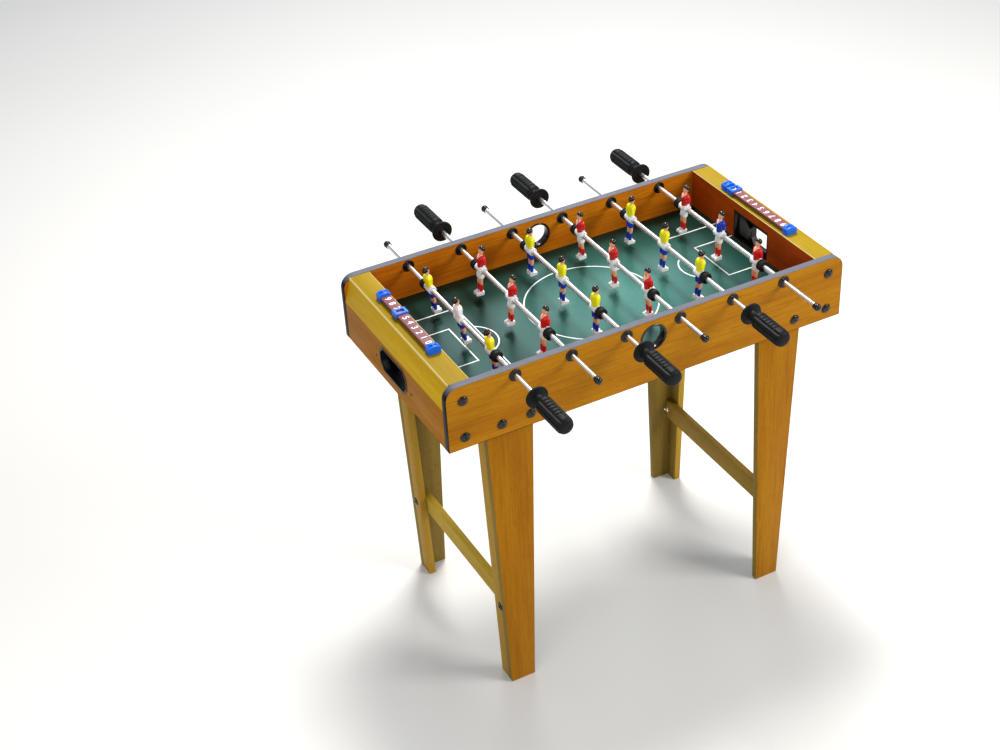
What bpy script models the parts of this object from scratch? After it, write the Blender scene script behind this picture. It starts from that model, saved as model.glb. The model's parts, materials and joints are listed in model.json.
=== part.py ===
"""Toy foosball table on four legs: board cabinet, playfield, goals, score rails and six rods of players.

Origin on the floor at the centre of the footprint. +X runs along the table to its right end,
-Y is the front side, +Z is up. Sizes are in metres.
"""
import math

import bmesh
import bpy
from mathutils import Matrix, Vector

# Overall sizes
LENGTH = 0.690
WIDTH = 0.365
HEIGHT = 0.620
GAP = 0.0003
MERGE_DISTANCE = 0.00001
FLAT_ANGLE = 0.001

# Cabinet boards
PANEL_HEIGHT = 0.1096
PANEL_THICKNESS = 0.012
PANEL_CORNER_R = 0.021
CORNER_STEPS = 6
END_BOX_WIDTH = 0.045
END_BOARD_THICKNESS = 0.009
END_BOX_DROP = 0.0005
FASCIA_RUN = 0.011
FASCIA_DROP = 0.0415
FIELD_THICKNESS = 0.003
FIELD_DEPTH = 0.067

# Goals and ball entry
GOAL_HALF_WIDTH = 0.047
GOAL_LINTEL = 0.016
MOUTH_HALF_WIDTH = 0.0468
MOUTH_LOW = 0.0165
MOUTH_HEIGHT = 0.0435
MOUTH_CORNER = 0.0125
CUP_WALL = 0.002
CUP_LIP = 0.004
CUP_STEP = 0.003
ENTRY_R = 0.018
ENTRY_RING_R = 0.0225
ENTRY_DROP = 0.031
RING_PROUD = 0.0012

# Rods, from the left end: how far each has been pushed and how far it has been turned
ROD_COUNT = 6
END_LANE = 0.067
ROD_DROP = 0.0125
ROD_R = 0.004
ROD_RUNNING_GAP = 0.0003
ROD_REST = ((-0.009, -8.0), (0.0, -5.0), (0.008, 1.0), (-0.009, 2.5), (0.008, 5.0), (0.010, -4.0))
ROD_SIDES = 16
BUSHING_R = 0.010
BUSHING_SIDES = 20
BUSHING_PROUD = 0.0015
CAP_R = 0.0055
CAP_CHAMFER = 0.0022
CAP_LENGTH = 0.012
CAP_REACH = 0.0805

# Handles
HANDLE_REACH = 0.0535
HANDLE_LENGTH = 0.086
HANDLE_FLANGE_R = 0.0175
HANDLE_NECK_R = 0.0102
HANDLE_GRIP_R = 0.0136
HANDLE_BORE_DEPTH = 0.060
HANDLE_FLANGE_THICKNESS = 0.003
HANDLE_NECK = (0.007, 0.012)
HANDLE_SHOULDER = ((0.86, 0.016), (0.93, 0.022))
HANDLE_DOME = ((0.55, 0.001), (0.86, 0.004), (1.0, 0.009))
HANDLE_SIDES = 20

# Players, their heights measured from the rod's axis
PLAYER_PITCH = 0.1015
HUB_R = 0.0064
HUB_HALF_LENGTH = 0.010
TORSO_WIDTH = 0.0152
TORSO_DEPTH = 0.0092
TORSO_CHAMFER = 0.0022
SHOULDER_HEIGHT = 0.0245
HEAD_CENTRE = 0.0330
HEAD_RADII = (0.0050, 0.0046, 0.0068)
NECK_R = 0.0024
SHORTS_WIDTH = 0.0128
SHORTS_DEPTH = 0.0086
SHORTS_HEIGHT = -0.0150
LEG_R = 0.0027
LEG_SPREAD = 0.0034
SOLE_CLEARANCE = 0.009
BOOT_SIZE = (0.0130, 0.0060, 0.0066)
BOOT_TOE = 0.0088
BUMPER_R = 0.0095
BUMPER_LENGTH = 0.010

# Score rails and their sliders
RAIL_SETBACK = 0.0138
RAIL_HALF_LENGTH = 0.0915
RAIL_WIDTH = 0.0165
RAIL_THICKNESS = 0.0035
RAIL_LIFT = 0.0045
BRACKET_LENGTH = 0.013
BRACKET_WIDTH = 0.0196
BRACKET_SIDE_HEIGHT = 0.0095
BRACKET_HEIGHT = 0.0130
SLIDER_LENGTH = 0.016
SLIDER_WALL = 0.0016
SLIDER_TOP = 0.0024
SLIDER_WINDOW = (0.0115, 0.0070)
SLIDER_REST = {"left": 0.0263, "right": 0.0667}

# Legs and stretchers
LEG_INSET = 0.1055
LEG_FOOT_WIDTH = 0.042
LEG_TAPER = 0.035
LEG_BOARD = 0.012
LEG_RETURN = 0.035
STRETCHER_HEIGHT = 0.034
STRETCHER_LEVEL = 0.155

# Derived places
PANEL_BOTTOM = HEIGHT - PANEL_HEIGHT
INNER_HALF_WIDTH = WIDTH / 2 - PANEL_THICKNESS
GOAL_WALL_X = LENGTH / 2 - END_BOX_WIDTH
FIELD_TOP = HEIGHT - FIELD_DEPTH
GOAL_HEIGHT = FIELD_DEPTH - GOAL_LINTEL
LEG_CENTRE = LENGTH / 2 - LEG_INSET
RAIL_X = GOAL_WALL_X + RAIL_SETBACK
ROD_Z = HEIGHT - ROD_DROP
RUNNING_R = ROD_R + ROD_RUNNING_GAP
SOLE_HEIGHT = SOLE_CLEARANCE - (FIELD_DEPTH - ROD_DROP)
ROD_PITCH = 2 * (GOAL_WALL_X - END_LANE) / (ROD_COUNT - 1)
END_BOX_TOP = HEIGHT - END_BOX_DROP
ROD_X = [(index - (ROD_COUNT - 1) / 2) * ROD_PITCH for index in range(ROD_COUNT)]

# Finishes: colour, roughness, metallic
FINISHES = {
    "oak_laminate": ((0.72, 0.42, 0.10), 0.45, 0.0),
    "pale_board": ((0.78, 0.62, 0.22), 0.5, 0.0),
    "green_field": ((0.03, 0.20, 0.16), 0.4, 0.0),
    "black_plastic": ((0.02, 0.02, 0.022), 0.4, 0.0),
    "black_rubber": ((0.03, 0.03, 0.03), 0.75, 0.0),
    "chrome": ((0.80, 0.81, 0.83), 0.12, 1.0),
    "yellow_player": ((0.85, 0.80, 0.02), 0.35, 0.0),
    "red_player": ((0.75, 0.03, 0.02), 0.35, 0.0),
    "white_keeper": ((0.85, 0.85, 0.85), 0.35, 0.0),
    "blue_keeper": ((0.05, 0.10, 0.60), 0.35, 0.0),
    "maroon_rail": ((0.35, 0.12, 0.12), 0.4, 0.0),
    "blue_plastic": ((0.02, 0.20, 0.80), 0.3, 0.0),
}

PARTS = None
TOOLS = None


# ---------------------------------------------------------------- scene and materials

def start_scene():
    """Empty the scene and make one collection for the parts and one for cutters and guides."""
    global PARTS, TOOLS
    for old in list(bpy.data.objects):
        bpy.data.objects.remove(old, do_unlink=True)
    PARTS = bpy.data.collections.new("foosball_table")
    TOOLS = bpy.data.collections.new("foosball_table_cutters")
    for collection in (PARTS, TOOLS):
        bpy.context.scene.collection.children.link(collection)


def finish_named(name):
    """The material of one finish, made on its first use."""
    if name in bpy.data.materials:
        return bpy.data.materials[name]
    colour, roughness, metallic = FINISHES[name]
    material = bpy.data.materials.new(name)
    material.use_nodes = True
    shader = material.node_tree.nodes["Principled BSDF"]
    shader.inputs["Base Color"].default_value = (*colour, 1.0)
    shader.inputs["Roughness"].default_value = roughness
    shader.inputs["Metallic"].default_value = metallic
    material.diffuse_color = (*colour, 1.0)
    return material


def part(name, mesh, finish, parent=None, place=None):
    """A named piece of the table, from a mesh."""
    piece = bpy.data.objects.new(name, mesh)
    mesh.materials.clear()
    mesh.materials.append(finish_named(finish))
    PARTS.objects.link(piece)
    piece.parent = parent
    if place is not None:
        piece.matrix_local = place
    return piece


def tool(name, mesh, parent=None, place=None):
    """A cutter or a guide, drawn as wire and left out of the build."""
    helper = bpy.data.objects.new(name, mesh)
    TOOLS.objects.link(helper)
    helper.parent = parent
    if place is not None:
        helper.matrix_local = place
    helper.hide_render = True
    helper.display_type = "WIRE"
    return helper


def pivot(name, place, parent=None):
    """An empty that carries pieces which move together."""
    empty = bpy.data.objects.new(name, None)
    PARTS.objects.link(empty)
    empty.parent = parent
    empty.matrix_local = place
    return empty


def combine(piece, operation, helper):
    """A live exact Boolean between a piece and a tool."""
    modifier = piece.modifiers.new(operation.lower(), "BOOLEAN")
    modifier.operation = operation
    modifier.solver = "EXACT"
    modifier.object = helper


# ---------------------------------------------------------------- shapes

def mesh_from(builder, name):
    """A mesh filled by a function that works on a bmesh."""
    shape = bmesh.new()
    builder(shape)
    mesh = bpy.data.meshes.new(name)
    shape.to_mesh(mesh)
    shape.free()
    return mesh


def add_box(shape, low, high):
    """A box between two corners."""
    low, high = Vector(low), Vector(high)
    made = bmesh.ops.create_cube(shape, size=1.0)["verts"]
    bmesh.ops.scale(shape, vec=high - low, verts=made)
    bmesh.ops.translate(shape, vec=(low + high) / 2, verts=made)
    return made


def add_cylinder_y(shape, centre, radius, length, sides, far_radius=None):
    """A cylinder or cone that lies along Y."""
    turn = Matrix.Translation(centre) @ Matrix.Rotation(math.radians(-90), 4, "X")
    return bmesh.ops.create_cone(
        shape, cap_ends=True, segments=sides, radius1=radius,
        radius2=radius if far_radius is None else far_radius, depth=length, matrix=turn,
    )["verts"]


def arc(centre_x, centre_y, radius, start, end, steps):
    """Points along an arc, angles in degrees."""
    angles = [math.radians(start + (end - start) * step / steps) for step in range(steps + 1)]
    return [(centre_x + radius * math.cos(a), centre_y + radius * math.sin(a)) for a in angles]


def slab(name, outline, thickness, place):
    """A flat outline given its thickness, half on each side, as a closed mesh in world axes."""
    curve = bpy.data.curves.new(name, "CURVE")
    curve.dimensions = "2D"
    curve.fill_mode = "BOTH"
    curve.extrude = thickness / 2
    spline = curve.splines.new("POLY")
    spline.points.add(len(outline) - 1)
    for point, (x, y) in zip(spline.points, outline):
        point.co = (x, y, 0.0, 1.0)
    spline.use_cyclic_u = True
    guide = bpy.data.objects.new(name, curve)
    TOOLS.objects.link(guide)
    guide.matrix_world = place
    bpy.context.view_layer.update()
    evaluated = guide.evaluated_get(bpy.context.evaluated_depsgraph_get())
    mesh = bpy.data.meshes.new_from_object(evaluated)
    mesh.transform(guide.matrix_world)
    bpy.data.objects.remove(guide, do_unlink=True)
    shape = bmesh.new()
    shape.from_mesh(mesh)
    bmesh.ops.remove_doubles(shape, verts=shape.verts, dist=MERGE_DISTANCE)
    bmesh.ops.dissolve_limit(shape, angle_limit=FLAT_ANGLE, verts=shape.verts, edges=shape.edges)
    bmesh.ops.recalc_face_normals(shape, faces=shape.faces)
    shape.to_mesh(mesh)
    shape.free()
    return mesh


def turned(name, profile, sides, finish, parent, place):
    """A solid of revolution about its own Z, from a profile that runs down its outer side."""
    mesh = bpy.data.meshes.new(name)
    edges = [(index, index + 1) for index in range(len(profile) - 1)]
    if profile[0][0] > 0.0:
        edges.append((len(profile) - 1, 0))
    mesh.from_pydata([(radius, 0.0, z) for radius, z in profile], edges, [])
    piece = part(name, mesh, finish, parent, place)
    screw = piece.modifiers.new("turn", "SCREW")
    screw.axis = "Z"
    screw.steps = sides
    screw.render_steps = sides
    screw.use_merge_vertices = True
    screw.merge_threshold = MERGE_DISTANCE
    screw.use_smooth_shade = True
    return piece


UPRIGHT = Matrix.Rotation(math.radians(90), 4, "X")
ENDWISE = Matrix.Rotation(math.radians(90), 4, "Z") @ UPRIGHT
TOWARDS_FRONT = Matrix.Rotation(math.radians(90), 4, "X")
TOWARDS_BACK = Matrix.Rotation(math.radians(-90), 4, "X")


# ---------------------------------------------------------------- cabinet

def side_panel(name, side):
    """A long side board with its bushing flanges and its ball-entry ring; side is -1 at the front."""
    radius = PANEL_CORNER_R
    half = LENGTH / 2
    outline = [(-half, PANEL_BOTTOM), (half, PANEL_BOTTOM)]
    outline += arc(half - radius, HEIGHT - radius, radius, 0, 90, CORNER_STEPS)
    outline += arc(-half + radius, HEIGHT - radius, radius, 90, 180, CORNER_STEPS)
    middle_y = side * (WIDTH / 2 - PANEL_THICKNESS / 2)
    place = Matrix.Translation((0, middle_y, 0)) @ UPRIGHT
    panel = part(name, slab(name, outline, PANEL_THICKNESS, place), "oak_laminate")

    def flanges(shape):
        for x in ROD_X:
            length = PANEL_THICKNESS + 2 * BUSHING_PROUD
            add_cylinder_y(shape, (x, middle_y, ROD_Z), BUSHING_R, length, BUSHING_SIDES)
        length = PANEL_THICKNESS + 2 * RING_PROUD
        entry = (0, middle_y, HEIGHT - ENTRY_DROP)
        add_cylinder_y(shape, entry, ENTRY_RING_R, length, 2 * ROD_SIDES)

    def holes(shape):
        length = 3 * PANEL_THICKNESS
        for x in ROD_X:
            add_cylinder_y(shape, (x, middle_y, ROD_Z), RUNNING_R, length, ROD_SIDES)
        entry = (0, middle_y, HEIGHT - ENTRY_DROP)
        add_cylinder_y(shape, entry, ENTRY_R, length, 2 * ROD_SIDES)

    combine(panel, "UNION", tool(f"{name}_flanges", mesh_from(flanges, f"{name}_flanges")))
    combine(panel, "DIFFERENCE", tool(f"{name}_holes", mesh_from(holes, f"{name}_holes")))


def playfield():
    """The thin field board between the side panels and the goal walls."""
    half_x = GOAL_WALL_X - GAP
    half_y = INNER_HALF_WIDTH - GAP

    def board(shape):
        low = (-half_x, -half_y, FIELD_TOP - FIELD_THICKNESS)
        add_box(shape, low, (half_x, half_y, FIELD_TOP))

    part("field_board", mesh_from(board, "field_board"), "green_field")


def mouth_outline(grow):
    """The eight-sided goal mouth in Y and Z, larger all round by grow."""
    half = MOUTH_HALF_WIDTH + grow
    low = PANEL_BOTTOM + MOUTH_LOW - grow
    return eight_sided(half, low, low + MOUTH_HEIGHT + 2 * grow, MOUTH_CORNER)


def eight_sided(half_width, low, high, corner):
    """An upright rectangle with cut corners, as points in Y and Z."""
    return [
        (-half_width + corner, low), (half_width - corner, low),
        (half_width, low + corner), (half_width, high - corner),
        (half_width - corner, high), (-half_width + corner, high),
        (-half_width, high - corner), (-half_width, low + corner),
    ]


def end_box(name, side):
    """The folded end: goal wall, top board, sloped fascia and outer end board; side is -1 at the left."""
    wall = END_BOARD_THICKNESS
    outer = LENGTH / 2
    crease = outer - FASCIA_RUN
    fascia_foot = END_BOX_TOP - FASCIA_DROP
    slope = math.hypot(FASCIA_RUN, FASCIA_DROP)
    inner_crease = crease - wall * (slope - FASCIA_RUN) / FASCIA_DROP
    inner_foot = fascia_foot - wall * (slope - FASCIA_DROP) / FASCIA_RUN
    outline = [
        (GOAL_WALL_X, PANEL_BOTTOM), (GOAL_WALL_X, END_BOX_TOP), (crease, END_BOX_TOP),
        (outer, fascia_foot), (outer, PANEL_BOTTOM), (outer - wall, PANEL_BOTTOM),
        (outer - wall, inner_foot), (inner_crease, END_BOX_TOP - wall),
        (GOAL_WALL_X + wall, END_BOX_TOP - wall), (GOAL_WALL_X + wall, PANEL_BOTTOM),
    ]
    outline = [(side * x, z) for x, z in outline]
    box = part(name, slab(name, outline, 2 * (INNER_HALF_WIDTH - GAP), UPRIGHT), "pale_board")

    def goal(shape):
        xs = sorted((side * (GOAL_WALL_X - wall), side * (GOAL_WALL_X + 1.5 * wall)))
        low = (xs[0], -GOAL_HALF_WIDTH, FIELD_TOP)
        add_box(shape, low, (xs[1], GOAL_HALF_WIDTH, FIELD_TOP + GOAL_HEIGHT))

    combine(box, "DIFFERENCE", tool(f"{name}_goal", mesh_from(goal, f"{name}_goal")))
    turn = Matrix.Translation((side * outer, 0, 0)) @ ENDWISE
    cutter = slab(f"{name}_mouth", mouth_outline(0.0), 3 * wall, turn)
    combine(box, "DIFFERENCE", tool(f"{name}_mouth", cutter))


def goal_cup(name, side):
    """A goal's plastic chute: a sleeve in the goal wall, a bin behind it and an eight-sided mouth."""
    wall_in = GOAL_WALL_X + END_BOARD_THICKNESS
    board_in = LENGTH / 2 - END_BOARD_THICKNESS
    sleeve = eight_sided(
        GOAL_HALF_WIDTH - GAP, FIELD_TOP + GAP, FIELD_TOP + GOAL_HEIGHT - GAP, CUP_WALL)
    mouth = mouth_outline(-GAP)
    mouth_low = PANEL_BOTTOM + MOUTH_LOW
    bin_low = mouth_low - CUP_LIP
    bin_back = eight_sided(MOUTH_HALF_WIDTH, bin_low, FIELD_TOP + GOAL_HEIGHT - GAP, CUP_WALL)
    bin_front = eight_sided(MOUTH_HALF_WIDTH, bin_low, mouth_low + MOUTH_HEIGHT, MOUTH_CORNER - GAP)
    rings = [
        (GOAL_WALL_X + GAP, sleeve), (wall_in + GAP, sleeve), (wall_in + CUP_STEP, bin_back),
        (board_in - GAP - CUP_STEP, bin_front), (board_in - GAP, mouth), (LENGTH / 2 - GAP, mouth),
    ]

    def skin(shape):
        loops = [[shape.verts.new((side * x, y, z)) for y, z in ring] for x, ring in rings]
        for inner, outer in zip(loops, loops[1:]):
            for index in range(len(inner)):
                after = (index + 1) % len(inner)
                shape.faces.new((inner[index], inner[after], outer[after], outer[index]))
        bmesh.ops.recalc_face_normals(shape, faces=shape.faces)

    mesh = mesh_from(skin, name)
    outward = sum(face.normal.z for face in mesh.polygons if face.center.z > FIELD_TOP + GOAL_HEIGHT / 2)
    if outward < 0:
        mesh.flip_normals()
    cup = part(name, mesh, "black_plastic")
    shell = cup.modifiers.new("wall", "SOLIDIFY")
    shell.thickness = CUP_WALL
    shell.offset = -1.0
    shell.use_even_offset = True


# ---------------------------------------------------------------- score counters

def score_rail(name, side):
    """A score bar held off the end board by an arched bracket at each end."""
    base = END_BOX_TOP + GAP
    place = Matrix.Translation((side * RAIL_X, 0, base))

    def bar(shape):
        half = RAIL_HALF_LENGTH - BRACKET_LENGTH / 2
        low = (-RAIL_WIDTH / 2, -half, RAIL_LIFT)
        add_box(shape, low, (RAIL_WIDTH / 2, half, RAIL_LIFT + RAIL_THICKNESS))

    rail = part(name, mesh_from(bar, name), "maroon_rail", place=place)
    half = BRACKET_WIDTH / 2
    rise = BRACKET_HEIGHT - BRACKET_SIDE_HEIGHT
    crown = (half * half + rise * rise) / (2 * rise)
    spread = math.degrees(math.asin(half / crown))
    outline = [(-half, 0), (half, 0)]
    outline += arc(0, BRACKET_HEIGHT - crown, crown, 90 - spread, 90 + spread, 6)
    for word, end in (("front", -1), ("back", 1)):
        middle = end * (RAIL_HALF_LENGTH - BRACKET_LENGTH / 2)
        stand = Matrix.Translation((0, middle, 0)) @ UPRIGHT
        bracket = slab(f"{name}_{word}_bracket", outline, BRACKET_LENGTH, stand)
        combine(rail, "UNION", tool(f"{name}_{word}_bracket", bracket, place=place))


def score_slider(name, side, centre):
    """The marker that slides along a score bar, with a window over one digit."""
    base = END_BOX_TOP + GAP
    place = Matrix.Translation((side * RAIL_X, centre, base))
    half_x = RAIL_WIDTH / 2 + GAP
    low = RAIL_LIFT - GAP
    high = RAIL_LIFT + RAIL_THICKNESS + GAP
    half_y = SLIDER_LENGTH / 2

    def sleeve(shape):
        corner = (-half_x - SLIDER_WALL, -half_y, low - SLIDER_WALL)
        add_box(shape, corner, (half_x + SLIDER_WALL, half_y, high + SLIDER_TOP))

    def hollow(shape):
        add_box(shape, (-half_x, -2 * half_y, low), (half_x, 2 * half_y, high))

    def window(shape):
        x, y = SLIDER_WINDOW[0] / 2, SLIDER_WINDOW[1] / 2
        add_box(shape, (-x, -y, high - SLIDER_WALL / 2), (x, y, high + 2 * SLIDER_TOP))

    slider = part(name, mesh_from(sleeve, name), "blue_plastic", place=place)
    for word, builder in (("hollow", hollow), ("window", window)):
        cutter = tool(f"{name}_{word}", mesh_from(builder, f"{name}_{word}"), place=place)
        combine(slider, "DIFFERENCE", cutter)


# ---------------------------------------------------------------- legs

def leg(name, side_x, side_y):
    """A tapered leg: a wide board against the side panel and a return board along its outer edge."""
    top = FIELD_TOP - FIELD_THICKNESS - GAP
    half = LEG_FOOT_WIDTH / 2
    section = [
        (-half, 0), (half, 0), (half, LEG_RETURN), (half - LEG_BOARD, LEG_RETURN),
        (half - LEG_BOARD, LEG_BOARD), (-half, LEG_BOARD),
    ]
    face_y = INNER_HALF_WIDTH - GAP
    outline = [(side_x * x, side_y * (face_y - y)) for x, y in section]
    place = Matrix.Translation((side_x * LEG_CENTRE, 0, top / 2))
    mesh = slab(name, outline, top, place)
    shape = bmesh.new()
    shape.from_mesh(mesh)
    for vertex in shape.verts:
        if vertex.co.z > top / 2:
            outer = abs(vertex.co.x) > LEG_CENTRE
            vertex.co.x += side_x * (1 if outer else -1) * LEG_TAPER * top
    shape.to_mesh(mesh)
    shape.free()
    part(name, mesh, "oak_laminate")


def stretcher(name, side):
    """The low rail between a front leg and a back leg, against the inside of their return boards."""
    lean = math.atan(LEG_TAPER)
    inside = LEG_CENTRE + LEG_FOOT_WIDTH / 2 - LEG_BOARD + LEG_TAPER * STRETCHER_LEVEL
    half_y = INNER_HALF_WIDTH - GAP - LEG_BOARD - GAP

    def board(shape):
        low = (-LEG_BOARD, -half_y, -STRETCHER_HEIGHT / 2)
        made = add_box(shape, low, (0, half_y, STRETCHER_HEIGHT / 2))
        bmesh.ops.scale(shape, vec=(side, 1, 1), verts=made)
        if side < 0:
            bmesh.ops.reverse_faces(shape, faces=shape.faces)

    place = Matrix.Translation((side * (inside - GAP), 0, STRETCHER_LEVEL))
    place = place @ Matrix.Rotation(side * lean, 4, "Y")
    part(name, mesh_from(board, name), "oak_laminate", place=place)


# ---------------------------------------------------------------- rods and players

def rod_profile():
    """Radius and place of the shaft and its end cap, measured from the table's middle."""
    tip = WIDTH / 2 + CAP_REACH
    inner_end = -(WIDTH / 2 + HANDLE_REACH + HANDLE_BORE_DEPTH - GAP)
    return [
        (0.0, tip), (CAP_R - CAP_CHAMFER, tip), (CAP_R, tip - CAP_CHAMFER), (CAP_R, tip - CAP_LENGTH),
        (ROD_R, tip - CAP_LENGTH), (ROD_R, inner_end), (0.0, inner_end),
    ]


def handle_profile():
    """Radius and place of a handle, from its domed end down to its flange and back up its bore."""
    foot = WIDTH / 2 + HANDLE_REACH
    end = foot + HANDLE_LENGTH
    bore = foot + HANDLE_BORE_DEPTH
    neck_low, neck_high = HANDLE_NECK
    dome = [(share * HANDLE_GRIP_R, end - depth) for share, depth in HANDLE_DOME]
    shoulder = [(share * HANDLE_GRIP_R, foot + rise) for share, rise in reversed(HANDLE_SHOULDER)]
    return [
        (0.0, end), *dome, *shoulder,
        (HANDLE_NECK_R, foot + neck_high), (HANDLE_NECK_R, foot + neck_low),
        (HANDLE_FLANGE_R, foot + HANDLE_FLANGE_THICKNESS), (HANDLE_FLANGE_R, foot),
        (RUNNING_R, foot), (RUNNING_R, bore), (0.0, bore),
    ]


def bumper_profile():
    """Radius and place of a rubber ring, centred on its own middle."""
    half = BUMPER_LENGTH / 2
    return [(BUMPER_R, half), (BUMPER_R, -half), (RUNNING_R, -half), (RUNNING_R, half)]


def player_mesh(name):
    """One player facing +X, feet down, clipped round a rod that runs along Y."""
    def torso(shape):
        low = (-TORSO_DEPTH / 2, -TORSO_WIDTH / 2, -HUB_R / 2)
        made = add_box(shape, low, (TORSO_DEPTH / 2, TORSO_WIDTH / 2, SHOULDER_HEIGHT))
        edges = {edge for vertex in made for edge in vertex.link_edges}
        bmesh.ops.bevel(shape, geom=list(edges), offset=TORSO_CHAMFER, segments=1, affect="EDGES")

    def head(shape):
        made = bmesh.ops.create_uvsphere(shape, u_segments=8, v_segments=6, radius=1.0)["verts"]
        bmesh.ops.scale(shape, vec=HEAD_RADII, verts=made)
        bmesh.ops.translate(shape, vec=(0, 0, HEAD_CENTRE), verts=made)

    def neck(shape):
        turn = Matrix.Translation((0, 0, (SHOULDER_HEIGHT + HEAD_CENTRE) / 2))
        depth = 1.2 * (HEAD_CENTRE - SHOULDER_HEIGHT)
        bmesh.ops.create_cone(
            shape, cap_ends=True, segments=8, radius1=NECK_R, radius2=NECK_R, depth=depth, matrix=turn)

    def hub(shape):
        add_cylinder_y(shape, (0, 0, 0), HUB_R, 2 * HUB_HALF_LENGTH, ROD_SIDES)

    def shorts(shape):
        low = (-SHORTS_DEPTH / 2, -SHORTS_WIDTH / 2, SHORTS_HEIGHT)
        add_box(shape, low, (SHORTS_DEPTH / 2, SHORTS_WIDTH / 2, 0.0))

    def legs(shape):
        top = SHORTS_HEIGHT + LEG_R
        bottom = SOLE_HEIGHT + BOOT_SIZE[2] / 2
        for y in (-LEG_SPREAD, LEG_SPREAD):
            turn = Matrix.Translation((0, y, (top + bottom) / 2))
            bmesh.ops.create_cone(
                shape, cap_ends=True, segments=8, radius1=0.8 * LEG_R, radius2=LEG_R,
                depth=top - bottom, matrix=turn)

    def boots(shape):
        length, width, height = BOOT_SIZE
        for y in (-LEG_SPREAD, LEG_SPREAD):
            low = (BOOT_TOE - length, y - width / 2, SOLE_HEIGHT)
            add_box(shape, low, (BOOT_TOE, y + width / 2, SOLE_HEIGHT + height))

    def bore(shape):
        add_cylinder_y(shape, (0, 0, 0), RUNNING_R, 4 * HUB_HALF_LENGTH, ROD_SIDES)

    model = tool(f"{name}_model", mesh_from(torso, f"{name}_torso"))
    helpers = []
    for builder in (hub, shorts, legs, boots, neck, head):
        helper = tool(f"{name}_{builder.__name__}", mesh_from(builder, f"{name}_{builder.__name__}"))
        combine(model, "UNION", helper)
        helpers.append(helper)
    helpers.append(tool(f"{name}_bore", mesh_from(bore, f"{name}_bore")))
    combine(model, "DIFFERENCE", helpers[-1])
    bpy.context.view_layer.update()
    evaluated = model.evaluated_get(bpy.context.evaluated_depsgraph_get())
    mesh = bpy.data.meshes.new_from_object(evaluated)
    for helper in [model, *helpers]:
        bpy.data.objects.remove(helper, do_unlink=True)
    return mesh


def rod_assembly(number, player):
    """A rod with its handle, cap, players and bumper rings; even rods face the other way."""
    x = ROD_X[number - 1]
    push, tilt = ROD_REST[number - 1]
    facing = Matrix.Rotation(math.radians(180 * ((number + 1) % 2)), 4, "Z")
    name = f"rod_{number}"
    place = Matrix.Translation((x, 0, ROD_Z)) @ facing @ Matrix.Translation((0, push, 0))
    slide = pivot(f"{name}_slide_axis", place)
    spin = pivot(f"{name}_turn_axis", Matrix.Rotation(math.radians(tilt), 4, "Y"), slide)

    turned(f"{name}_shaft", rod_profile(), ROD_SIDES, "chrome", spin, TOWARDS_BACK)
    turned(f"{name}_handle", handle_profile(), HANDLE_SIDES, "black_plastic", spin, TOWARDS_FRONT)

    teams = ("yellow_player", "red_player")
    keepers = {1: "white_keeper", ROD_COUNT: "blue_keeper"}
    for index, word in enumerate(("handle_side", "middle", "cap_side")):
        finish = teams[(number + 1) % 2]
        if word == "middle":
            finish = keepers.get(number, finish)
        place = Matrix.Translation((0, (index - 1) * PLAYER_PITCH, 0))
        part(f"{name}_player_{word}", player.copy(), finish, spin, place)

    offset = PLAYER_PITCH + HUB_HALF_LENGTH + GAP + BUMPER_LENGTH / 2
    for word, end in (("handle_side", -1), ("cap_side", 1)):
        place = Matrix.Translation((0, end * offset, 0)) @ TOWARDS_BACK
        turned(f"{name}_bumper_{word}", bumper_profile(), ROD_SIDES, "black_rubber", slide, place)


# ---------------------------------------------------------------- the table

def build():
    start_scene()
    side_panel("front_panel", -1)
    side_panel("back_panel", 1)
    playfield()
    for word, side in (("left", -1), ("right", 1)):
        end_box(f"{word}_end_box", side)
        goal_cup(f"{word}_goal_cup", side)
        score_rail(f"{word}_score_rail", side)
        score_slider(f"{word}_score_slider", side, SLIDER_REST[word])
        stretcher(f"{word}_stretcher", side)
        leg(f"front_{word}_leg", side, -1)
        leg(f"back_{word}_leg", side, 1)
    player = player_mesh("player")
    for number in range(1, ROD_COUNT + 1):
        rod_assembly(number, player)


build()
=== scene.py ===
"""The looks of a toy foosball table: its visible pieces and finishes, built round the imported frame.

Metres, in the frame's own axes: +X runs to the right end, -Y is the front and +Z is up.
"""
import json
import math
from contextlib import contextmanager

import bmesh
import bpy
from mathutils import Matrix, Vector


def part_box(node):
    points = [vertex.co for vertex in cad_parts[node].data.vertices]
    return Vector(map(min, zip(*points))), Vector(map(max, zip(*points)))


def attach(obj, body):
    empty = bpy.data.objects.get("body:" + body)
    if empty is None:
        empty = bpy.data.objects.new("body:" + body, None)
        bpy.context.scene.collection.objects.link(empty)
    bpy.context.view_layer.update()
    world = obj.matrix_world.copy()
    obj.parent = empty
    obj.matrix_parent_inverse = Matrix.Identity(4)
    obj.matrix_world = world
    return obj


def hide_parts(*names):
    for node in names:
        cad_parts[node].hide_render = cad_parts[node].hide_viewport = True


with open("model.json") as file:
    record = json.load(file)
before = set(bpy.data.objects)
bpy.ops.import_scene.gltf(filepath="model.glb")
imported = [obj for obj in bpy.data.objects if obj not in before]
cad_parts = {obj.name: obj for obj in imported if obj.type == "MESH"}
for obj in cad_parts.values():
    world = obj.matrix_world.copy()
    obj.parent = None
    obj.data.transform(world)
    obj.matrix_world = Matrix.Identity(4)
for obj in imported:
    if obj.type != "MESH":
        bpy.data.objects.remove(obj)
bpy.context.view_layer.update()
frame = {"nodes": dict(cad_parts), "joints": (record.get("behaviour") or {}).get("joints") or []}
MM = 0.001
SAME_PLACE = 0.000001
HAIR_GAP = 0.05 * MM   # keeps two faces out of one plane

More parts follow.
